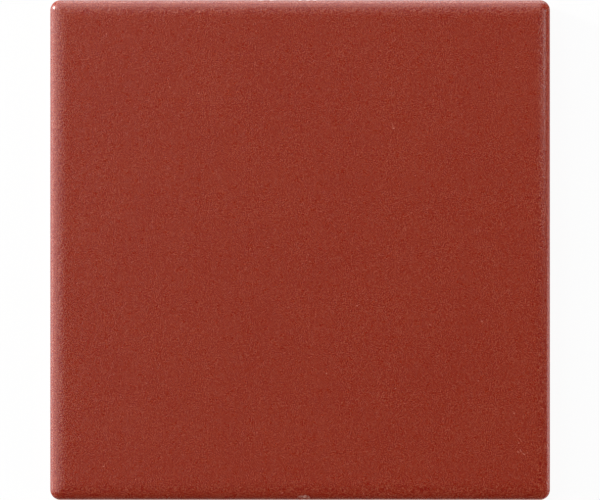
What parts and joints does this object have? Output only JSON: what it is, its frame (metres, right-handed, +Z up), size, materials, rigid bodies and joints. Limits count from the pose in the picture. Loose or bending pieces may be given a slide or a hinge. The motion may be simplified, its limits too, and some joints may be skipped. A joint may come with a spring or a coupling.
{
  "type": "floor tile",
  "caption": "Square satin-glazed red ceramic floor tile with a rounded face edge, upright joint edges, drafted sides and a shallow waffle-keyed back for bedding in adhesive.",
  "frame": {"origin": "centre of the back, in the plane of the rib crests that the tile lies on", "axes": "+Z up out of the glazed face; +X and +Y along the two edges, with +Y toward the top of the picture"},
  "size_m": [0.098, 0.098, 0.006],
  "materials": {
    "glazed_tile": "satin"
  },
  "bodies": {
    "root": {"floor_tile": "glazed_tile"}
  },
  "joints": []
}
